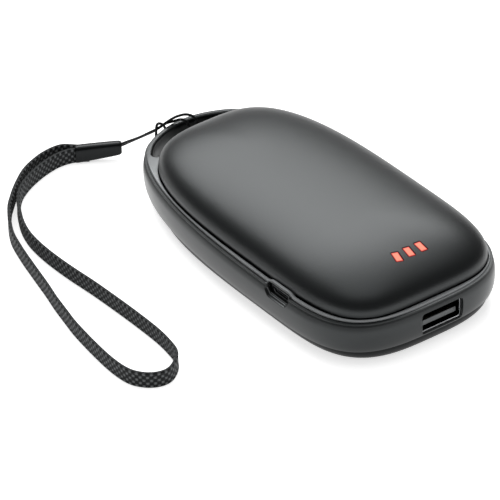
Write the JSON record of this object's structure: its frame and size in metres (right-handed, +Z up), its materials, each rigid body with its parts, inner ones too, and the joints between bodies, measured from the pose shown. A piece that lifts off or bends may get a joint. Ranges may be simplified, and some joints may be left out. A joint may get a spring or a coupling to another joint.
{
  "type": "hand warmer",
  "caption": "Rechargeable pebble-shaped hand warmer with a USB output port, a micro-USB charging port, charge lights, a side power button and a woven wrist lanyard.",
  "frame": {"origin": "centre of the case's footprint, on the flat of the back cover that it rests on", "axes": "+Y toward the lanyard bar, -Y out of the USB output port, -X out of the micro-USB port, +Z up through the top cover"},
  "size_m": [0.1047, 0.1372, 0.0241],
  "materials": {
    "cover": "dark grey anodised, satin",
    "lip": "dark grey, semi-gloss moulded",
    "wall": "near-black, semi-gloss moulded",
    "back": "dark grey anodised, satin",
    "light_guide": "translucent, lit salmon",
    "button": "satin black",
    "socket_steel": "nickel-plated sheet",
    "socket_block": "moulded, white",
    "socket_block_dark": "moulded, black",
    "contacts": "gold-plated",
    "cell_sleeve": null,
    "nickel": "plain strip",
    "cradle": "moulded, natural",
    "board": "green solder mask",
    "chip": "moulded epoxy",
    "ferrite": "sintered, matt",
    "ceramic": "sintered, matt",
    "lamp": "moulded, white",
    "film": "amber film with etched tracks",
    "bead": "dipped epoxy",
    "screw_steel": "zinc-plated",
    "wire_red": "silicone-insulated",
    "wire_black": "silicone-insulated",
    "webbing": "woven tape",
    "cord": "braided cord",
    "sleeve": "satin black"
  },
  "bodies": {
    "case": {"top_cover": "cover", "upper_frame": "lip", "lower_frame": "wall", "bottom_cover": "back", "indicator_bars": "light_guide", "indicator_lamps": "lamp", "switch_body": "socket_block_dark", "main_board": "board", "control_chip": "chip", "boost_inductor": "ferrite", "board_capacitors": "ceramic", "usb_a_shell": "socket_steel", "usb_a_tongue": "socket_block", "usb_a_contacts": "contacts", "micro_usb_shell": "socket_steel", "micro_usb_tongue": "socket_block_dark", "cell_left": "cell_sleeve", "cell_right": "cell_sleeve", "cell_cradle": "cradle", "cell_link_front": "nickel", "cell_link_rear": "nickel", "heater_top": "film", "heater_bottom": "film", "thermistor": "bead", "lead_positive": "wire_red", "lead_negative": "wire_black", "case_screws": "screw_steel", "board_screws": "screw_steel", "lanyard_strap": "webbing", "lanyard_sleeve": "sleeve", "tether_cord": "cord"},
    "button": {"power_button": "button", "switch_plunger": "socket_block"}
  },
  "joints": [
    {"name": "button_press", "type": "slide", "parent": "case", "child": "button", "axis": [-1, 0, 0], "range_m": [0, 0.0004], "stiffness_N_per_m": 1500, "springref_m": -0.0003}
  ]
}
